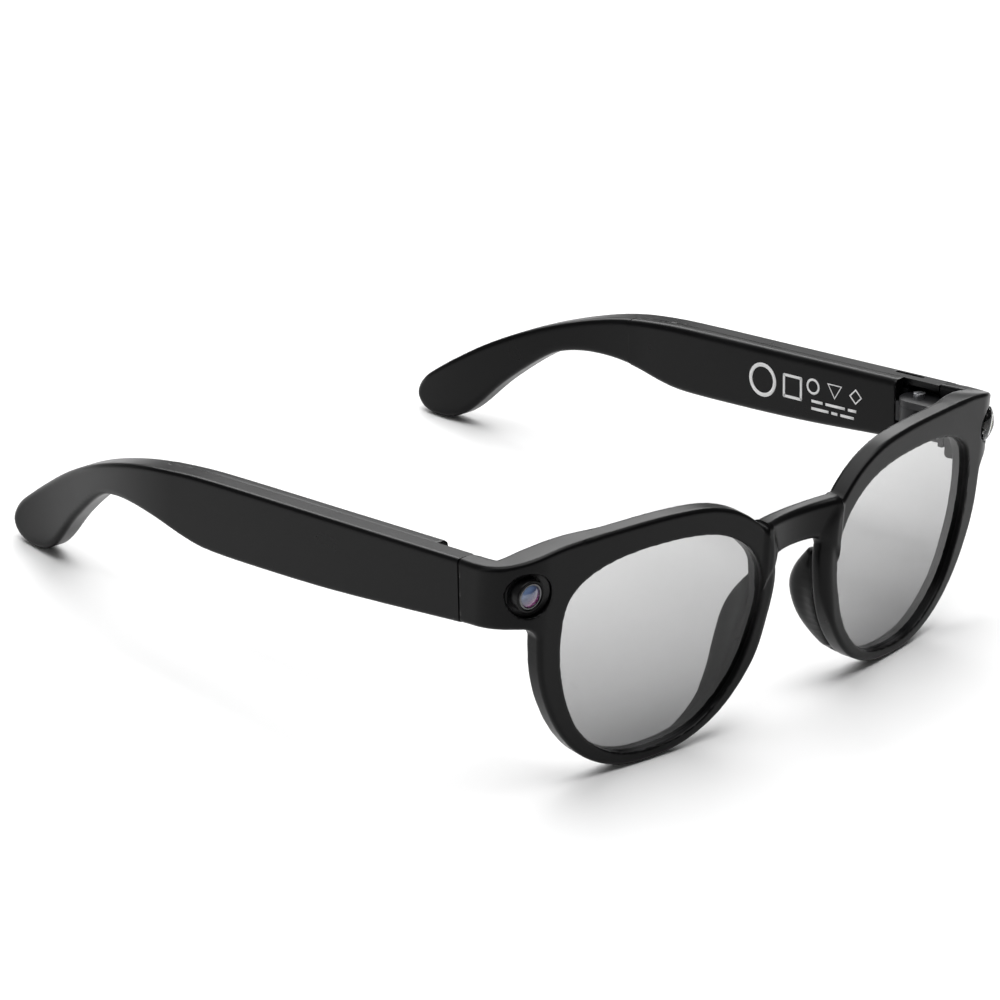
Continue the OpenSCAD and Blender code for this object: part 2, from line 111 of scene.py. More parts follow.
OPENING = [(24.5, 7), (22.5, 15.3), (14, 19.6), (0, 20.7), (-13, 19.1), (-21.5, 13.8), (-24.5, 6.5), (-22.8, -3),
           (-18.5, -11.8), (-10.5, -18.7), (0, -20.9), (10, -19.4), (18.5, -13), (23.2, -3)]
RIM = [(29.4, 5), (29.6, 14), (27.6, 22), (21, 25.2), (10, 25.8), (-2, 25.8), (-11.5, 24.8), (-19.5, 21.6),
       (-25.7, 16), (-28.6, 9), (-28.1, 2), (-25.8, -5.4), (-21.3, -12.7), (-15.4, -18.4), (-7.8, -22), (0, -23.1),
       (7, -22.8), (13.2, -20.8), (18.8, -17.2), (23.4, -12), (26.7, -6), (28.6, -0.5)]
TEMPLE_LOW = [(-8, -11.9), (0, -12.4), (16, -13.4), (32, -14.2), (48, -14.5), (64, -14.4), (71, -13.4), (79, -11.4),
              (87, -10.4), (95, -10.7), (102, -12.9), (113, -20.6), (121, -27.8), (126, -30.9), (131.5, -31.6),
              (136.2, -30.2), (137.9, -26.6), (135.2, -22.6)]
TEMPLE_TOP = [(128, -18.1), (118, -12.6), (107, -7.8), (96, -4.2), (84, -1.5), (72, -0.3), (60, 0), (30, 0), (-8, 0)]
END_TOP = [(-16, 48.7), (-6, 48.65), (0, 48.4), (4, 47.8), (8, 46.7), (12, 45.5), (16, 44.7), (20, 44.25), (32, 44.0)]
END_LOW = [(0, 33.5), (13, 33.4), (24, 32.1), (40, 30.6)]

ARC_Y = Y_LENS + (CORNER_R + (HALF_W - CORNER_R - LENS_X) * math.sin(WRAP)) / math.cos(WRAP)
EYE_X = HALF_W - EYE_IN
EYE_Y = ARC_Y - math.sqrt(CORNER_R**2 - (CORNER_R - EYE_IN) ** 2)
EYE_Z = LENS_Z + EYE_W


def face_y(x):
    return Y_LENS + (x - LENS_X) * math.tan(WRAP)


def arc(cx, cy, r, a0, a1, k):
    a = np.radians(np.linspace(a0, a1, k + 1))
    return [(cx + r * math.cos(t), cy + r * math.sin(t)) for t in a]


class Outline:
    """Signed distance to a closed outline, negative inside, read from a fine grid."""

    def __init__(self, points, margin=5.0, step=0.2):
        p = np.array(points, float)
        self.lo, self.step = p.min(0) - margin, step
        n = np.ceil((p.max(0) + margin - self.lo) / step).astype(int) + 1
        u, v = np.meshgrid(*(self.lo[i] + step * np.arange(n[i]) for i in (0, 1)), indexing="ij")
        near = np.full(u.shape, 1e9)
        inside = np.zeros(u.shape, bool)
        for a, b in zip(p, np.roll(p, -1, 0)):
            e = b - a
            wu, wv = u - a[0], v - a[1]
            t = np.clip((wu * e[0] + wv * e[1]) / max(e @ e, 1e-12), 0, 1)
            near = np.minimum(near, (wu - e[0] * t) ** 2 + (wv - e[1] * t) ** 2)
            if abs(e[1]) > 1e-12:
                crosses = (a[1] > v) != (b[1] > v)
                inside ^= crosses & (wu < wv * e[0] / e[1])
        self.grid = np.where(inside, -1, 1) * np.sqrt(near)

    def __call__(self, u, v):
        g = self.grid
        a = np.clip((u - self.lo[0]) / self.step, 0, g.shape[0] - 1.001)
        b = np.clip((v - self.lo[1]) / self.step, 0, g.shape[1] - 1.001)
        i, j = a.astype(int), b.astype(int)
        a, b = a - i, b - j
        lower = g[i, j] * (1 - a) + g[i + 1, j] * a
        upper = g[i, j + 1] * (1 - a) + g[i + 1, j + 1] * a
        return lower * (1 - b) + upper * b


# ---------- shapes as signed distances ----------
def both(a, b, r=0.0):
    """Where both hold, with the edge between them rounded to r."""
    if np.isscalar(r) and r == 0:
        return np.maximum(a, b)
    a, b = a + r, b + r
    return np.minimum(np.maximum(a, b), 0) + np.hypot(np.maximum(a, 0), np.maximum(b, 0)) - r


def either(a, b, r=0.0):
    """Where one holds, with the inner corner between them filled to r."""
    return -both(-a, -b, r)


def without(a, b, r=0.0):
    return both(a, -b, r)


def ramp(x, lo, hi):
    t = np.clip((x - lo) / (hi - lo), 0, 1)
    return t * t * (3 - 2 * t)


def turned(x, y, cx, cy, angle):
    """A point in a frame at (cx, cy) that is turned about the vertical."""
    c, s = math.cos(angle), math.sin(angle)
    return (x - cx) * c + (y - cy) * s, -(x - cx) * s + (y - cy) * c


def along_temple(y, z):
    """Distance behind the hinge and height above the top edge, in the temple's frame."""
    c, s = math.cos(SLOPE), math.sin(SLOPE)
    y, z = y - PIVOT_Y, z - TOP_Z
    return y * c - z * s, y * s + z * c


def gradient(f, p, e=0.01):
    g = np.empty_like(p)
    for i in range(3):
        d = np.zeros(3)
        d[i] = e
        g[:, i] = (f(*(p + d).T) - f(*(p - d).T)) / (2 * e)
    return g


CORNERS = np.array([(i, j, k) for i in (0, 1) for j in (0, 1) for k in (0, 1)])
EDGES = [(a, b) for a in range(8) for b in range(a + 1, 8) if np.abs(CORNERS[a] - CORNERS[b]).sum() == 1]


def skin(f, lo, hi, step, care=1.0):
    """Corners and quads of the surface f = 0, by dual contouring: a corner sits on the planes round it, so edges stay
    crisp. f is read on every fourth grid point first, and on all of them within reach of the surface; care widens that
    reach for shapes whose distances run too long."""
    lo = np.array(lo, float)
    step = np.broadcast_to(np.array(step, float), 3)
    n = (np.ceil((np.array(hi) - lo) / step / 4).astype(int) + 1) * 4
    mid = [lo[i] + step[i] * (1.5 + 4 * np.arange(n[i] // 4)) for i in range(3)]
    coarse = f(*np.meshgrid(*mid, indexing="ij"))
    reach = (np.linalg.norm(step) * 1.5 * 1.3 + step.max()) * care
    big = np.repeat(np.repeat(np.repeat(coarse, 4, 0), 4, 1), 4, 2)
    at = np.argwhere(np.abs(big) < reach)
    values = big
    values[tuple(at.T)] = f(*(lo + at * step).T)
    inside = values < 0
    count = np.zeros(n - 1, np.int8)
    for i, j, k in CORNERS:
        count += inside[i : n[0] - 1 + i, j : n[1] - 1 + j, k : n[2] - 1 + k]
    cell = np.argwhere((count > 0) & (count < 8))
    number = np.full(n - 1, -1)
    number[tuple(cell.T)] = np.arange(len(cell))
    corner = np.stack([values[tuple((cell + c).T)] for c in CORNERS], 1)
    total, hits = np.zeros((len(cell), 3)), np.zeros(len(cell))
    rows, points = [], []
    for a, b in EDGES:
        va, vb = corner[:, a], corner[:, b]
        m = np.nonzero((va < 0) != (vb < 0))[0]
        t = (va[m] / (va[m] - vb[m]))[:, None]
        q = lo + (cell[m] + CORNERS[a] + t * (CORNERS[b] - CORNERS[a])) * step
        rows.append(m)
        points.append(q)
        np.add.at(total, m, q)
        np.add.at(hits, m, 1)
    rows, points = np.concatenate(rows), np.concatenate(points)
    for _ in range(2):
        g = gradient(f, points)
        points = points - f(*points.T)[:, None] * g / np.maximum((g * g).sum(1), 0.2)[:, None]
    g = gradient(f, points)
    g /= np.linalg.norm(g, axis=1)[:, None] + 1e-12
    middle = np.zeros_like(total)
    np.add.at(middle, rows, points)
    middle /= hits[:, None]
    pull = 0.06
    ata = np.zeros((len(cell), 3, 3))
    atb = np.zeros((len(cell), 3))
    np.add.at(ata, rows, g[:, :, None] * g[:, None, :])
    np.add.at(atb, rows, g * ((points - middle[rows]) * g).sum(1)[:, None])
    ata += pull * np.eye(3)
    move = np.linalg.solve(ata, atb[:, :, None])[:, :, 0]
    v = middle + np.clip(move, -0.75 * step, 0.75 * step)
    faces = []
    for ax in range(3):
        o = [i for i in range(3) if i != ax]
        head = [slice(None)] * 3
        tail = [slice(None)] * 3
        head[ax], tail[ax] = slice(0, -1), slice(1, None)
        a, b = inside[tuple(head)], inside[tuple(tail)]
        e = np.argwhere(a != b)
        e = e[(e[:, o[0]] > 0) & (e[:, o[1]] > 0) & (e[:, o[0]] < n[o[0]] - 1) & (e[:, o[1]] < n[o[1]] - 1)]
        out = a[tuple(e.T)]
        quad = []
        for s0, s1 in ((0, 0), (-1, 0), (-1, -1), (0, -1)):
            c = e.copy()
            c[:, o[0]] += s0
            c[:, o[1]] += s1
            quad.append(number[tuple(c.T)])
        quad = np.stack(quad, 1)
        flip = out ^ (ax == 1)
        quad[~flip] = quad[~flip][:, ::-1]
        faces.append(quad)
    return v, np.concatenate(faces)


def piece(name, v, faces, body, material, stands_for=(), sharp=40):
    """A mesh in millimetres before centring, made into a piece that rides on a body."""
    me = bpy.data.meshes.new(name)
    v = np.asarray(v, float)
    faces = faces.tolist() if isinstance(faces, np.ndarray) else faces
    me.from_pydata(((v + [0, -Y_MID, LIFT]) * 0.001).tolist(), [], faces)
    me.update()
    me.validate()
    o = bpy.data.objects.new(name, me)
    scene.collection.objects.link(o)
    me.shade_smooth()
    me.set_sharp_from_angle(angle=math.radians(sharp))
    me.materials.append(material)
    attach(o, body)
    if stands_for:
        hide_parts(*stands_for)
    return o


# ---------- materials ----------
def moulded(name, base, rough, spread=0.05, bump=0.25, grain=2600.0, coat=0.0, metal=0.0, specular=0.5, mottle=0.15):
    """Moulded or machined surface: a base colour with faint mottling, roughness that wanders, and a fine grain."""
    m = bpy.data.materials.new(name)
    m.use_nodes = True
    t = m.node_tree
    n, link = t.nodes, t.links.new
    p = n["Principled BSDF"]
    p.inputs["Metallic"].default_value = metal
    p.inputs["Specular IOR Level"].default_value = specular
    p.inputs["Coat Weight"].default_value = coat
    p.inputs["Coat Roughness"].default_value = 0.08
    where = n.new("ShaderNodeTexCoord")
    fine = n.new("ShaderNodeTexNoise")
    fine.inputs["Scale"].default_value = grain
    fine.inputs["Detail"].default_value = 3
    broad = n.new("ShaderNodeTexNoise")
    broad.inputs["Scale"].default_value = 90
    broad.inputs["Detail"].default_value = 5
    for x in (fine, broad):
        link(where.outputs["Object"], x.inputs["Vector"])
    mixed = n.new("ShaderNodeMix")
    mixed.data_type = "RGBA"
    mixed.inputs[6].default_value = (*[c * (1 - mottle) for c in base], 1)
    mixed.inputs[7].default_value = (*[min(c * (1 + mottle), 1) for c in base], 1)
    link(broad.outputs["Fac"], mixed.inputs[0])
    link(mixed.outputs[2], p.inputs["Base Color"])
    span = n.new("ShaderNodeMapRange")
    span.inputs["From Min"].default_value = 0.3
    span.inputs["From Max"].default_value = 0.7
    span.inputs["To Min"].default_value = rough - spread
    span.inputs["To Max"].default_value = rough + spread
    link(broad.outputs["Fac"], span.inputs["Value"])
    link(span.outputs["Result"], p.inputs["Roughness"])
    b = n.new("ShaderNodeBump")
    b.inputs["Strength"].default_value = bump
    b.inputs["Distance"].default_value = 0.00002
    link(fine.outputs["Fac"], b.inputs["Height"])
    link(b.outputs["Normal"], p.inputs["Normal"])
    return m


def tinted_glass(name, tint, rough=0.02, ior=1.45, mirrors=True, fade=None):
    """Thin tinted plastic or glass: light passes tinted, and the surface mirrors by its angle."""
    m = bpy.data.materials.new(name)
    m.use_nodes = True
    t = m.node_tree
    n, link = t.nodes, t.links.new
    n.remove(n["Principled BSDF"])
    out = n["Material Output"]
    clear = n.new("ShaderNodeBsdfTransparent")
    clear.inputs["Color"].default_value = (*tint, 1)
    if fade:  # a gradient tint, from the lower edge of the lens to the upper
        height = n.new("ShaderNodeTexCoord")
        split = n.new("ShaderNodeSeparateXYZ")
        link(height.outputs["Object"], split.inputs[0])
        level = n.new("ShaderNodeMapRange")
        level.inputs["From Min"].default_value = (LENS_Z - 21) * 0.001
        level.inputs["From Max"].default_value = (LENS_Z + 21) * 0.001
        link(split.outputs["Z"], level.inputs["Value"])
        shade = n.new("ShaderNodeMix")
        shade.data_type = "RGBA"
        shade.inputs[6].default_value = (*fade[0], 1)
        shade.inputs[7].default_value = (*fade[1], 1)
        link(level.outputs["Result"], shade.inputs[0])
        link(shade.outputs[2], clear.inputs["Color"])
    gloss = n.new("ShaderNodeBsdfGlossy")
    gloss.inputs["Roughness"].default_value = rough
    where = n.new("ShaderNodeTexCoord")
    smear = n.new("ShaderNodeTexNoise")
    smear.inputs["Scale"].default_value = 120
    link(where.outputs["Object"], smear.inputs["Vector"])
    span = n.new("ShaderNodeMapRange")
    span.inputs["To Min"].default_value = rough * 0.5
    span.inputs["To Max"].default_value = rough * 2
    link(smear.outputs["Fac"], span.inputs["Value"])
    link(span.outputs["Result"], gloss.inputs["Roughness"])
    f = n.new("ShaderNodeFresnel")
    f.inputs["IOR"].default_value = ior if mirrors else 1.0
    mix = n.new("ShaderNodeMixShader")
    link(f.outputs["Fac"], mix.inputs["Fac"])
    link(clear.outputs["BSDF"], mix.inputs[1])
    link(gloss.outputs["BSDF"], mix.inputs[2])
    link(mix.outputs["Shader"], out.inputs["Surface"])
    return m


def glass_painted_sheen(name):
    """Front element of the camera: dark glass whose base colour carries a painted reflection of its coating, running
    from pale blue, up and outwards, to violet.
    """
    m = moulded(name, (0.02, 0.03, 0.09), 0.07, 0.02, 0.0, coat=1.0, specular=0.9)
    t = m.node_tree
    n, link = t.nodes, t.links.new
    p = n["Principled BSDF"]
    where = next(x for x in n if x.bl_idname == "ShaderNodeTexCoord")
    turn = n.new("ShaderNodeVectorMath")
    turn.operation = "DOT_PRODUCT"
    turn.inputs[1].default_value = (0.55, 0.0, -0.83)
    shift = n.new("ShaderNodeMapRange")
    centre = -0.55 * EYE_X - 0.83 * (EYE_Z + LIFT)
    shift.inputs["From Min"].default_value = (centre - 2.0) * 0.001
    shift.inputs["From Max"].default_value = (centre + 2.0) * 0.001
    # painted reflection: the coating's blue-to-violet sheen is laid into the base colour across the lens face
    sheen_ramp = n.new("ShaderNodeValToRGB")
    e = sheen_ramp.color_ramp.elements
    e[0].position, e[0].color = 0.0, (0.16, 0.24, 0.42, 1)
    e[1].position, e[1].color = 1.0, (0.30, 0.05, 0.22, 1)
    for at, colour in ((0.35, (0.03, 0.05, 0.13, 1)), (0.6, (0.05, 0.02, 0.09, 1))):
        e.new(at).color = colour
    link(where.outputs["Object"], turn.inputs[0])
    link(turn.outputs["Value"], shift.inputs["Value"])
    link(shift.outputs["Result"], sheen_ramp.inputs["Fac"])
    link(sheen_ramp.outputs["Color"], p.inputs["Base Color"])
    return m


FRAME = moulded("frame_black", (0.0022, 0.0022, 0.0024), 0.3, 0.03, 0.2, specular=0.13)
TRIM = moulded("trim_black", (0.005, 0.005, 0.0053), 0.36, 0.05, 0.3, specular=0.25)
PADS = moulded("pad_black", (0.0024, 0.0024, 0.0026), 0.32, 0.04, 0.25, specular=0.14)
# camera lens glass, with its coating's reflection painted into the colour as a blue-to-violet sweep
OPTIC = glass_painted_sheen("optic_painted_sheen")
STEEL = moulded("steel", (0.62, 0.63, 0.65), 0.28, 0.06, 0.3, metal=1.0)
SILVER = moulded("silver_ring", (0.11, 0.11, 0.115), 0.25, 0.05, 0.2, metal=1.0)
HINGE = moulded("hinge_coat", (0.012, 0.012, 0.013), 0.34, 0.06, 0.3, metal=0.3, specular=0.3)
BOARD = moulded("solder_mask", (0.01, 0.09, 0.045), 0.35, 0.08, 0.4)
CHIP = moulded("package", (0.02, 0.02, 0.022), 0.5, 0.08, 0.4)
CELL = moulded("pouch_foil", (0.55, 0.56, 0.58), 0.3, 0.1, 0.5, metal=1.0)
LAMP = moulded("phosphor", (0.72, 0.66, 0.16), 0.5, 0.1, 0.3)
MESH = moulded("woven_mesh", (0.16, 0.16, 0.17), 0.4, 0.1, 0.6, metal=0.8)
CONTACT = moulded("gold_plate", (0.83, 0.6, 0.22), 0.22, 0.06, 0.2, metal=1.0)
FLEX = moulded("polyimide", (0.4, 0.2, 0.04), 0.35, 0.08, 0.3)
LENS = tinted_glass("lens_tint", (0.25, 0.25, 0.25), fade=((0.15, 0.15, 0.152), (0.56, 0.56, 0.56)))
LENS_BACK = tinted_glass("lens_back", (0.98, 0.98, 0.98), mirrors=False)
WINDOW = tinted_glass("lamp_window_clear", (0.85, 0.85, 0.84))
BY_SLOT = {"frame": FRAME, "trim": TRIM, "pads": PADS, "lens": LENS, "optic": OPTIC, "window": WINDOW, "steel": STEEL,
           "silver": SILVER, "hinge": HINGE, "board": BOARD, "chip": CHIP, "cell": CELL, "lamp": LAMP, "mesh": MESH,
           "contact": CONTACT, "flex": FLEX}
for row in frame["record"]["subparts"]:
    o = nodes[row["node"]]
    o.data.materials.clear()
    o.data.materials.append(BY_SLOT[row["material_slot"]])


# ---------- the moulded front ----------
rim_d = Outline(evened(through(RIM)))
opening_d = Outline(evened(through(OPENING)))
END_IN = 44.0  # where the end piece runs out behind the rim
plan = [(END_IN, face_y(END_IN))] + arc(HALF_W - CORNER_R, ARC_Y, CORNER_R, math.degrees(WRAP) - 90, 0, 60)
plan += [(HALF_W, 34), (SHELL_X, 34), (SHELL_X, 18.6), (64, face_y(64) + 7.6), (58, face_y(58) + 6.0),
         (51, face_y(51) + 4.6), (END_IN, face_y(END_IN) + RIM_T)]
plan_d = Outline(plan)
end_top = through(END_TOP, False)


def front_shape(x0, y, z):
    x = np.abs(x0)
    xr, yr = turned(x, y, LENS_X, Y_LENS, WRAP)
    zr = z - LENS_Z
    outer, hole = rim_d(xr, zr), opening_d(xr, zr)
    v, h = along_temple(y, z)
    # the end piece: plan outline, sloping top, low edge and a soft fillet down into the rim
    diagonal = ((x - 58) + (y - 10)) * math.sqrt(0.5)
    top = z - np.interp(diagonal, end_top[:, 0], end_top[:, 1])
    low = np.interp(y, *np.array(END_LOW).T) - z
    fillet = -both(29.45 - xr, zr - 10.5, 3.3)
    web = both(both(fillet, 5.4 - zr), both(20 - xr, top))
    outer = either(outer, web)
    # rims, softer on the side of the nose
    nose = ramp(-xr, 16, 23) * ramp(zr, -10, 0) * (1 - ramp(zr, 9, 15))
    face = np.where(x > 50, np.maximum(-yr, plan_d(x, y)), -yr)
    rim = both(outer, face, 0.85 + 1.35 * nose)
    rim = both(rim, yr - RIM_T, 0.6 + 0.5 * nose)
    end = both(plan_d(x, y), top, 0.95)
    end = both(end, low, 1.0)
    end = np.maximum(end, END_IN - x)
    end = both(end, 1.4 - hole)
    body = either(rim, end)
    # the bridge, set back between the rims
    bow = both(np.maximum(4.7 - 0.019 * x * x, face_y(x) + 0.15) - y, y - 8.4 + 0.014 * x * x, 1.2)
    rise = both(33.9 - 2.4 * (np.minimum(x, 12) / 9.6) ** 5 - z, z - 41.0 - 0.5 * (x / 9.6) ** 2, 0.2)
    bridge = both(both(bow, rise, 1.3), x - 10.5)
    body = either(body, bridge, 1.6)
    # the lens openings, the room for the hinges and the split faces
    body = without(body, both(both(hole, -2 - yr), yr - 30), 0.45)
    room = both(both(50 - x, x - SHELL_X), -9.2 - v)
    body = without(body, room, 0.25)
    body = both(body, np.where(x > 40, v - SPLIT_V, -9.0), 0.18)
    # the dish and the bore for the camera on one corner, the lamp on the other
    xe, ye = turned(x, y, EYE_X, EYE_Y, WRAP)
    xd, yd = turned(x, y, EYE_X, EYE_Y, DISH_TURN)
    ze = z - EYE_Z
    right = x0 < 0
    dish = both(np.hypot(xd, ze) - np.where(right, DISH_R, 3.7), yd - np.where(right, 2.1, 1.3))
    dish = both(dish, -4 - yd)
    body = without(body, dish, 0.32)
    bore = both(both(np.hypot(xe, ze) - BARREL_R - 0.1, ye - 6), -4 - ye)
    return without(body, bore)


SKIN_MARGIN = 0.6
v, faces = skin(front_shape, (-HALF_W - SKIN_MARGIN, 1.5, -SKIN_MARGIN), (HALF_W + SKIN_MARGIN, 26.5, 49.5),
                (0.36, 0.34, 0.36), care=2.2)
piece("front_moulding", v, faces, "front", FRAME, ("front_frame",))

# ---------- temples ----------
temple_d = Outline(evened(np.vstack([through(TEMPLE_LOW, False), through(TEMPLE_TOP, False)])))
cavity_d = Outline([(6, -11.4), (34, -12.9), (62, -13.2), (70, -12.2), (75, -11), (75, -1.3), (6, -1.3)])
hinge_room_d = Outline([(-9, -11.2), (7, -11.4), (7, -1.3), (-9, -1.3)])


CURL_V, CURL_RUN = 74, 66  # where the tip starts to bend in, and over what length
BUTTON_V, BUTTON_H, BUTTON_TILT = 15.7, -13.38, math.radians(-3.4)
GRILLE_V, GRILLE_PITCH, GRILLE_LAST = 57, 2.2, 4


def curl(v):
    """How far the outer face has bent in towards the head."""
    return np.where(v < CURL_V, 0, TIP_IN * (1 - np.cos(np.clip(v - CURL_V, 0, CURL_RUN) * math.pi / CURL_RUN)) / 2)


def thick(v):
    """Thickness of the temple, thinner towards the end of the tip."""
    return TEMPLE_T - np.maximum(0, v - 70) * 0.024


def shell_shape(button, slot_on_top):
    """Outer shell, hollow for the electronics and the hinge, with the button's hole, the top slot and the grille."""

    def shape(x, v, h):
        d = HALF_W - curl(v) - x
        side_d = temple_d(v, h)
        tip = ramp(v, 76, 100)
        deep = np.where(v < TIP_V, SHELL_T, thick(v))
        body = both(side_d, -d, 0.85 + 0.5 * tip)
        body = both(body, d - deep, np.where(v < TIP_V, 0.2, 1.5))
        body = both(body, SPLIT_V + SPLIT_GAP - v, 0.18)
        hollow = both(1.2 - d, d - SHELL_T - 1)
        body = without(body, both(cavity_d(v, h), hollow))
        body = without(body, both(hinge_room_d(v, h), hollow))
        across = np.abs(d - 2.6)
        if button:
            along = (v - BUTTON_V) * math.cos(BUTTON_TILT) + (h - BUTTON_H) * math.sin(BUTTON_TILT)
            stadium = np.hypot(across, np.maximum(np.abs(along) - 2.2, 0)) - 1.08
            body = without(body, both(stadium, h + 10.4), 0.15)
        if slot_on_top:
            stadium = np.hypot(d - 1.7, np.maximum(np.abs(v - 5.6) - 3.2, 0)) - 0.45
            body = without(body, both(stadium, -1.35 - h), 0.12)
        nearest = np.clip(np.round((v - GRILLE_V) / GRILLE_PITCH), 0, GRILLE_LAST)
        near = np.abs(v - GRILLE_V - GRILLE_PITCH * nearest)
        body = without(body, both(both(across - 0.7, near - 0.45), h + 11), 0.1)
        return body

    return shape


def cover_shape(x, v, h):
    """Inner cover, hollow on the side of the electronics."""
    d = HALF_W - curl(v) - x
    body = both(temple_d(v, h), d - TEMPLE_T, 1.5)
    body = both(body, SHELL_T + 0.02 - d, 0.22)
    body = both(body, COVER_V - v, 0.45)
    body = both(body, v - TIP_V + 0.06, 0.1)
    return without(body, both(cavity_d(v, h) + 0.7, d - 6.0))


def temple_place(v, mirror):
    """From the temple's frame to the part's, and to the other side for a mirrored piece."""
    c, s = math.cos(SLOPE), math.sin(SLOPE)
    out = np.stack([v[:, 0], PIVOT_Y + v[:, 1] * c + v[:, 2] * s, TOP_Z - v[:, 1] * s + v[:, 2] * c], 1)
    return out * ([-1, 1, 1] if mirror else [1, 1, 1])


for side, mirror in (("right", True), ("left", False)):
    body = "temple_" + side
    lo, hi = (SHELL_X - 13, -4.2, -32.2), (HALF_W + 0.5, 138.6, 0.6)
    v, faces = skin(shell_shape(mirror, not mirror), lo, hi, (0.36, 0.5, 0.4))
    faces = faces[:, ::-1] if mirror else faces
    piece("temple_shell_outer_" + side, temple_place(v, mirror), faces, body, FRAME, ("temple_shell_" + side,))
    lo, hi = (COVER_X - 2, COVER_V - SKIN_MARGIN, -15.2), (SHELL_X + SKIN_MARGIN, TIP_V + SKIN_MARGIN, SKIN_MARGIN)
    v, faces = skin(cover_shape, lo, hi, (0.36, 0.5, 0.4))
    faces = faces[:, ::-1] if mirror else faces
    piece("temple_cover_inner_" + side, temple_place(v, mirror), faces, body, FRAME, ("temple_cover_" + side,))

# ---------- lenses ----------
def rim_place(p, mirror):
    """From the frame of a rim (sideways outwards, backwards, up) to the part's."""
    c, s = math.cos(WRAP), math.sin(WRAP)
    out = np.stack([LENS_X + p[:, 0] * c - p[:, 1] * s, Y_LENS + p[:, 0] * s + p[:, 1] * c, LENS_Z + p[:, 2]], 1)
    return out * ([-1, 1, 1] if mirror else [1, 1, 1])


def lens_mesh(sag=0.35, rings=24):
    """A lens with a gently domed face; its third result marks the back and the edge, which do not mirror."""
    loop = evened(through(OPENING))
    loop *= 1 + 0.25 / np.linalg.norm(loop, axis=1)[:, None]
    n = len(loop)
    v, faces, back = [], [], []
    for front in (True, False):
        base = len(v)
        v.append((0, LENS_Y - sag if front else LENS_Y + LENS_T, 0))
        for r in range(1, rings + 1):
            s = math.sin(0.5 * math.pi * r / rings)
            y = LENS_Y - sag * (1 - s * s) if front else LENS_Y + LENS_T - 0.2 * sag * s * s
            v += [(x * s, y, z * s) for x, z in loop]
        for i in range(n):
            j = (i + 1) % n
            f = (base, base + 1 + i, base + 1 + j)
            faces.append(f if front else f[::-1])
            for r in range(rings - 1):
                a, b = base + 1 + r * n, base + 1 + (r + 1) * n
                f = (a + i, b + i, b + j, a + j)
                faces.append(f if front else f[::-1])
        back += [0 if front else 1] * (n * rings)
    a, b = 1 + (rings - 1) * n, 1 + rings * n + 1 + (rings - 1) * n
    faces += [(a + i, b + i, b + (i + 1) % n, a + (i + 1) % n) for i in range(n)]
    return np.array(v), faces, back + [1] * n


for side, mirror in (("right", True), ("left", False)):
    v, faces, back = lens_mesh()
    if mirror:
        faces = [f[::-1] for f in faces]
    o = piece("lens_pane_" + side, rim_place(v, mirror), faces, "front", LENS, ("lens_" + side,))
    o.data.materials.append(LENS_BACK)
    o.data.polygons.foreach_set("material_index", back)

# ---------- nose pads ----------
PAD_SPINE = [(-26.6, 4.6, 6.0, 1.3), (-25.7, 7.0, 1.6, 1.8), (-24.5, 8.2, -2.4, 1.9), (-22.4, 7.8, -7.6, 1.8),
             (-19.6, 6.4, -12.2, 1.6), (-16.0, 5.0, -16.2, 1.3), (-11.6, 4.2, -19.2, 1.0), (-7.4, 3.7, -21.0, 0.7)]
PAD_ROOT = [(-25.4, 3.8, 3.0, 1.6), (-24.2, 4.2, -3.0, 2.2), (-21.6, 4.2, -9.0, 2.0), (-17.6, 3.8, -14.2, 1.4)]
pad_spine, pad_root = through(PAD_SPINE, False, 4), through(PAD_ROOT, False, 4)


def strand(points, x, y, z):
    """Distance to a string of balls, with the radius running evenly from each ball to the next."""
    near = np.full(np.shape(x), 9.0)
    for a, b in zip(points[:-1], points[1:]):
        d = b - a
        t = np.clip(((x - a[0]) * d[0] + (y - a[1]) * d[1] + (z - a[2]) * d[2]) / (d[:3] @ d[:3]), 0, 1)
        gap = np.sqrt((x - a[0] - t * d[0]) ** 2 + (y - a[1] - t * d[1]) ** 2 + (z - a[2] - t * d[2]) ** 2)
        near = np.minimum(near, gap - a[3] - t * d[3])
    return near


def pad_shape(x, y, z):
    pad = either(strand(pad_spine, x, y, z), strand(pad_root, x, y, z), 2.2)
    return both(pad, RIM_T - 0.3 - y, 0.3)


for side, mirror in (("right", True), ("left", False)):
    v, faces = skin(pad_shape, (-30.5, 3.0, -22.4), (-5.5, 11.2, 8.5), 0.36)
    faces = faces[:, ::-1] if mirror else faces
    piece("nose_pad_soft_" + side, rim_place(v, mirror), faces, "front", PADS, ("nose_pad_" + side,))


# ---------- turned parts of the camera and the lamp ----------
def turned_piece(name, profile, mirror, angle, material, stands_for=(), n=96, x=EYE_X, y=EYE_Y, z=EYE_Z):
    """A closed profile of (radius, depth) points spun about the axis of the camera or the lamp."""
    profile = np.array(profile, float)
    a = np.linspace(0, 2 * math.pi, n, endpoint=False)
    v = np.concatenate([[(r * math.cos(t), d, r * math.sin(t)) for t in a] for r, d in profile])
    c, s = math.cos(angle), math.sin(angle)
    v = np.stack([x + v[:, 0] * c - v[:, 1] * s, y + v[:, 0] * s + v[:, 1] * c, z + v[:, 2]], 1)
    v = v * ([-1, 1, 1] if mirror else [1, 1, 1])
    k = len(profile)
    solid = profile[0][0] < 1e-6
    faces = []
    for i in range(k - 1 if solid else k):
        j = (i + 1) % k
        faces += [(i * n + q, i * n + (q + 1) % n, j * n + (q + 1) % n, j * n + q) for q in range(n)]
    if not mirror:
        faces = [f[::-1] for f in faces]
    o = piece(name, v, faces, "front", material, stands_for, sharp=50)
    b = bmesh.new()
    b.from_mesh(o.data)
    bmesh.ops.remove_doubles(b, verts=b.verts, dist=1e-7)
    bmesh.ops.dissolve_degenerate(b, edges=b.edges, dist=1e-8)
    bmesh.ops.recalc_face_normals(b, faces=b.faces)
    b.to_mesh(o.data)
    b.free()
    return o


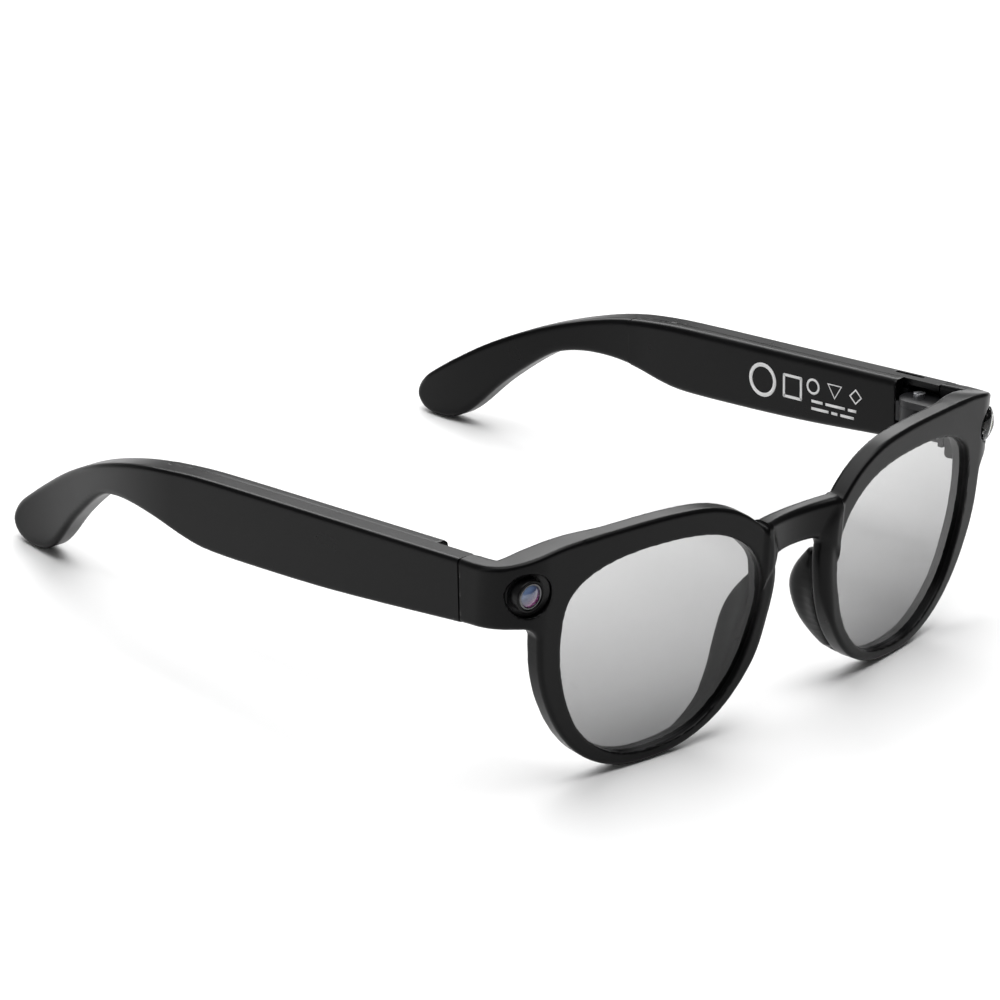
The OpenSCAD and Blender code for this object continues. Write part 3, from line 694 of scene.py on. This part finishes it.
def cap(r, d, bulge, k=10):
    """Profile of a domed face from its axis out to radius r, standing bulge proud of depth d."""
    return [(r * i / k, d - bulge * (1 - (i / k) ** 2)) for i in range(k + 1)]


turned_piece("camera_bezel_ring", [(3.15, 1.95), (3.15, 1.5), (3.5, 1.42), (4.0, 1.3), (4.25, 1.1), (4.25, 2.0)],
             True, DISH_TURN, TRIM, ("camera_bezel",))
turned_piece("camera_barrel_body", [(2.62, 0.45), (2.62, -0.02), (2.7, -0.16), (2.84, -0.2), (2.98, -0.14), (3.08, 0.0),
             (3.1, 0.14), (3.1, 3.8), (1.5, 3.8), (1.5, 2.4), (2.2, 2.4), (2.2, 0.45)], True, WRAP, PADS,
             ("camera_barrel",))
turned_piece("camera_silver_ring", [(2.1, 0.38), (2.1, 0.0), (2.18, -0.1), (2.34, -0.12), (2.5, -0.06), (2.57, 0.04),
             (2.57, 0.38)], True, WRAP, SILVER, ("camera_ring",))
turned_piece("camera_front_lens", cap(2.07, 0.1, 0.62) + [(2.07, 1.1), (0, 1.1)], True, WRAP, OPTIC,
             ("camera_lens",))
turned_piece("lamp_dome", cap(3.35, -0.12, 1.1, 14) + [(3.35, 1.2), (0, 1.2)], False, DISH_TURN, WINDOW,
             ("lamp_window",))
turned_piece("lamp_seal", [(3.4, 1.25), (3.4, 0.2), (3.47, 0.08), (3.58, 0.08), (3.65, 0.2), (3.65, 1.25)], False,
             DISH_TURN, PADS, ("lamp_gasket",))


# ---------- generic marks printed inside the left temple ----------
def strip(path, width, closed):
    """Flat band of a given width along a path of (v, h) points."""
    p = np.array(path, float)
    n = len(p)
    if closed:
        t = np.roll(p, -1, 0) - np.roll(p, 1, 0)
    else:
        t = np.gradient(p, axis=0)
    t /= np.linalg.norm(t, axis=1)[:, None]
    off = np.stack([-t[:, 1], t[:, 0]], 1) * width / 2
    v = np.concatenate([p + off, p - off])
    faces = [(i, (i + 1) % n, n + (i + 1) % n, n + i) for i in range(n if closed else n - 1)]
    return v, faces


def marks():
    """Two rings, a rounded square, a triangle, a diamond and two rows of bars, none a letter or a known sign."""
    shapes = []
    a = np.linspace(0, 2 * math.pi, 64, endpoint=False)
    shapes.append(strip([(40.8 + 3.3 * math.cos(t), -6.9 + 3.3 * math.sin(t)) for t in a], 0.85, True))
    square = [[c + 2.9 * max(-0.8, min(0.8, 1.25 * f(t))) for c, f in ((32.6, math.cos), (-6.9, math.sin))] for t in a]
    shapes.append(strip(square, 0.6, True))
    shapes.append(strip([(27.0 + 1.5 * math.cos(t), -5.7 + 1.5 * math.sin(t)) for t in a], 0.5, True))
    shapes.append(strip([(21.2, -7.2), (23.0, -4.3), (19.4, -4.3)], 0.42, True))
    shapes.append(strip([(15.6 + 1.5 * math.cos(t), -5.7 + 1.5 * math.sin(t)) for t in a[::16]], 0.42, True))
    for row, widths in ((-8.9, (3.0, 5.2, 2.2)), (-10.5, (4.6, 1.6, 3.6))):
        at = 27.4
        for w in widths:
            shapes.append(strip([(at, row), (at - w, row)], 0.6, False))
            at -= w + 0.8
    v, faces = [], []
    for p, f in shapes:
        base = len(v)
        v += [(COVER_X - 0.012, q[0], q[1]) for q in p]
        faces += [tuple(base + i for i in g) for g in f]
    return np.array(v), faces


PRINT = moulded("print_white", (0.72, 0.72, 0.72), 0.5, 0.04, 0.2)
v, faces = marks()
o = piece("printed_marks", temple_place(v, False), faces, "temple_left", PRINT)
thickness = o.modifiers.new("thickness", "SOLIDIFY")
thickness.thickness, thickness.offset = 0.00002, 0

# softened edges on the small machined parts that stay as the CAD made them
for name in ("hinge_front_right", "hinge_front_left", "hinge_temple_right", "hinge_temple_left", "hinge_screw_right",
             "hinge_screw_left", "capture_button", "cover_screws_right", "cover_screws_left", "charge_contacts"):
    bevel = nodes[name].modifiers.new("soft_edges", "BEVEL")
    bevel.width, bevel.segments, bevel.limit_method = 0.00012, 3, "ANGLE"
    bevel.angle_limit, bevel.harden_normals = math.radians(35), True

# ---------- camera, lights and floor ----------
camera = bpy.data.objects.new("camera", bpy.data.cameras.new("camera"))
scene.collection.objects.link(camera)
look = Vector((0.67545, 0.62891, -0.38503)).normalized()
up = Vector((0.24425, 0.30186, 0.92153))
side = look.cross(up).normalized()
up = side.cross(look)
stand = Vector((-0.50567, -0.47141, 0.30477))
camera.matrix_world = Matrix.Translation(stand) @ Matrix((side, up, -look)).transposed().to_4x4()
camera.data.lens = 131.8
camera.data.shift_x, camera.data.shift_y = 0.0014, 0.00705
camera.data.clip_start, camera.data.clip_end = 0.05, 20
scene.camera = camera


def lamp(name, place, target, size, power, size_y=None):
    d = bpy.data.lights.new(name, "AREA")
    d.shape = "RECTANGLE"
    d.size, d.size_y, d.energy = size, size_y or size, power
    o = bpy.data.objects.new(name, d)
    scene.collection.objects.link(o)
    o.location = place
    o.rotation_mode = "QUATERNION"
    o.rotation_quaternion = (Vector(target) - Vector(place)).to_track_quat("-Z", "Y")
    return o


lamp("top_box", (0.0, 0.05, 1.0), (0, 0, 0), 1.1, 15)
lamp("back_box", (1.0, 1.15, 0.95), (0, 0, 0.03), 1.4, 16, 0.7)
lamp("side_strip", (-0.9, 0.5, 0.5), (0, 0, 0.03), 0.25, 1.0, 0.9)
world = bpy.data.worlds.new("studio")
scene.world = world
world.use_nodes = True
world.node_tree.nodes["Background"].inputs["Color"].default_value = (1, 1, 1, 1)
world.node_tree.nodes["Background"].inputs["Strength"].default_value = 0.12
scene.view_settings.view_transform = "Standard"

floor_mesh = bpy.data.meshes.new("floor")
floor_mesh.from_pydata([(-6, -6, -0.0002), (6, -6, -0.0002), (6, 6, -0.0002), (-6, 6, -0.0002)], [], [(0, 1, 2, 3)])
floor = bpy.data.objects.new("floor", floor_mesh)
scene.collection.objects.link(floor)
floor.data.materials.append(moulded("pale_floor", (0.9, 0.9, 0.9), 0.9, 0.02, 0.0, specular=0.0, mottle=0.0))
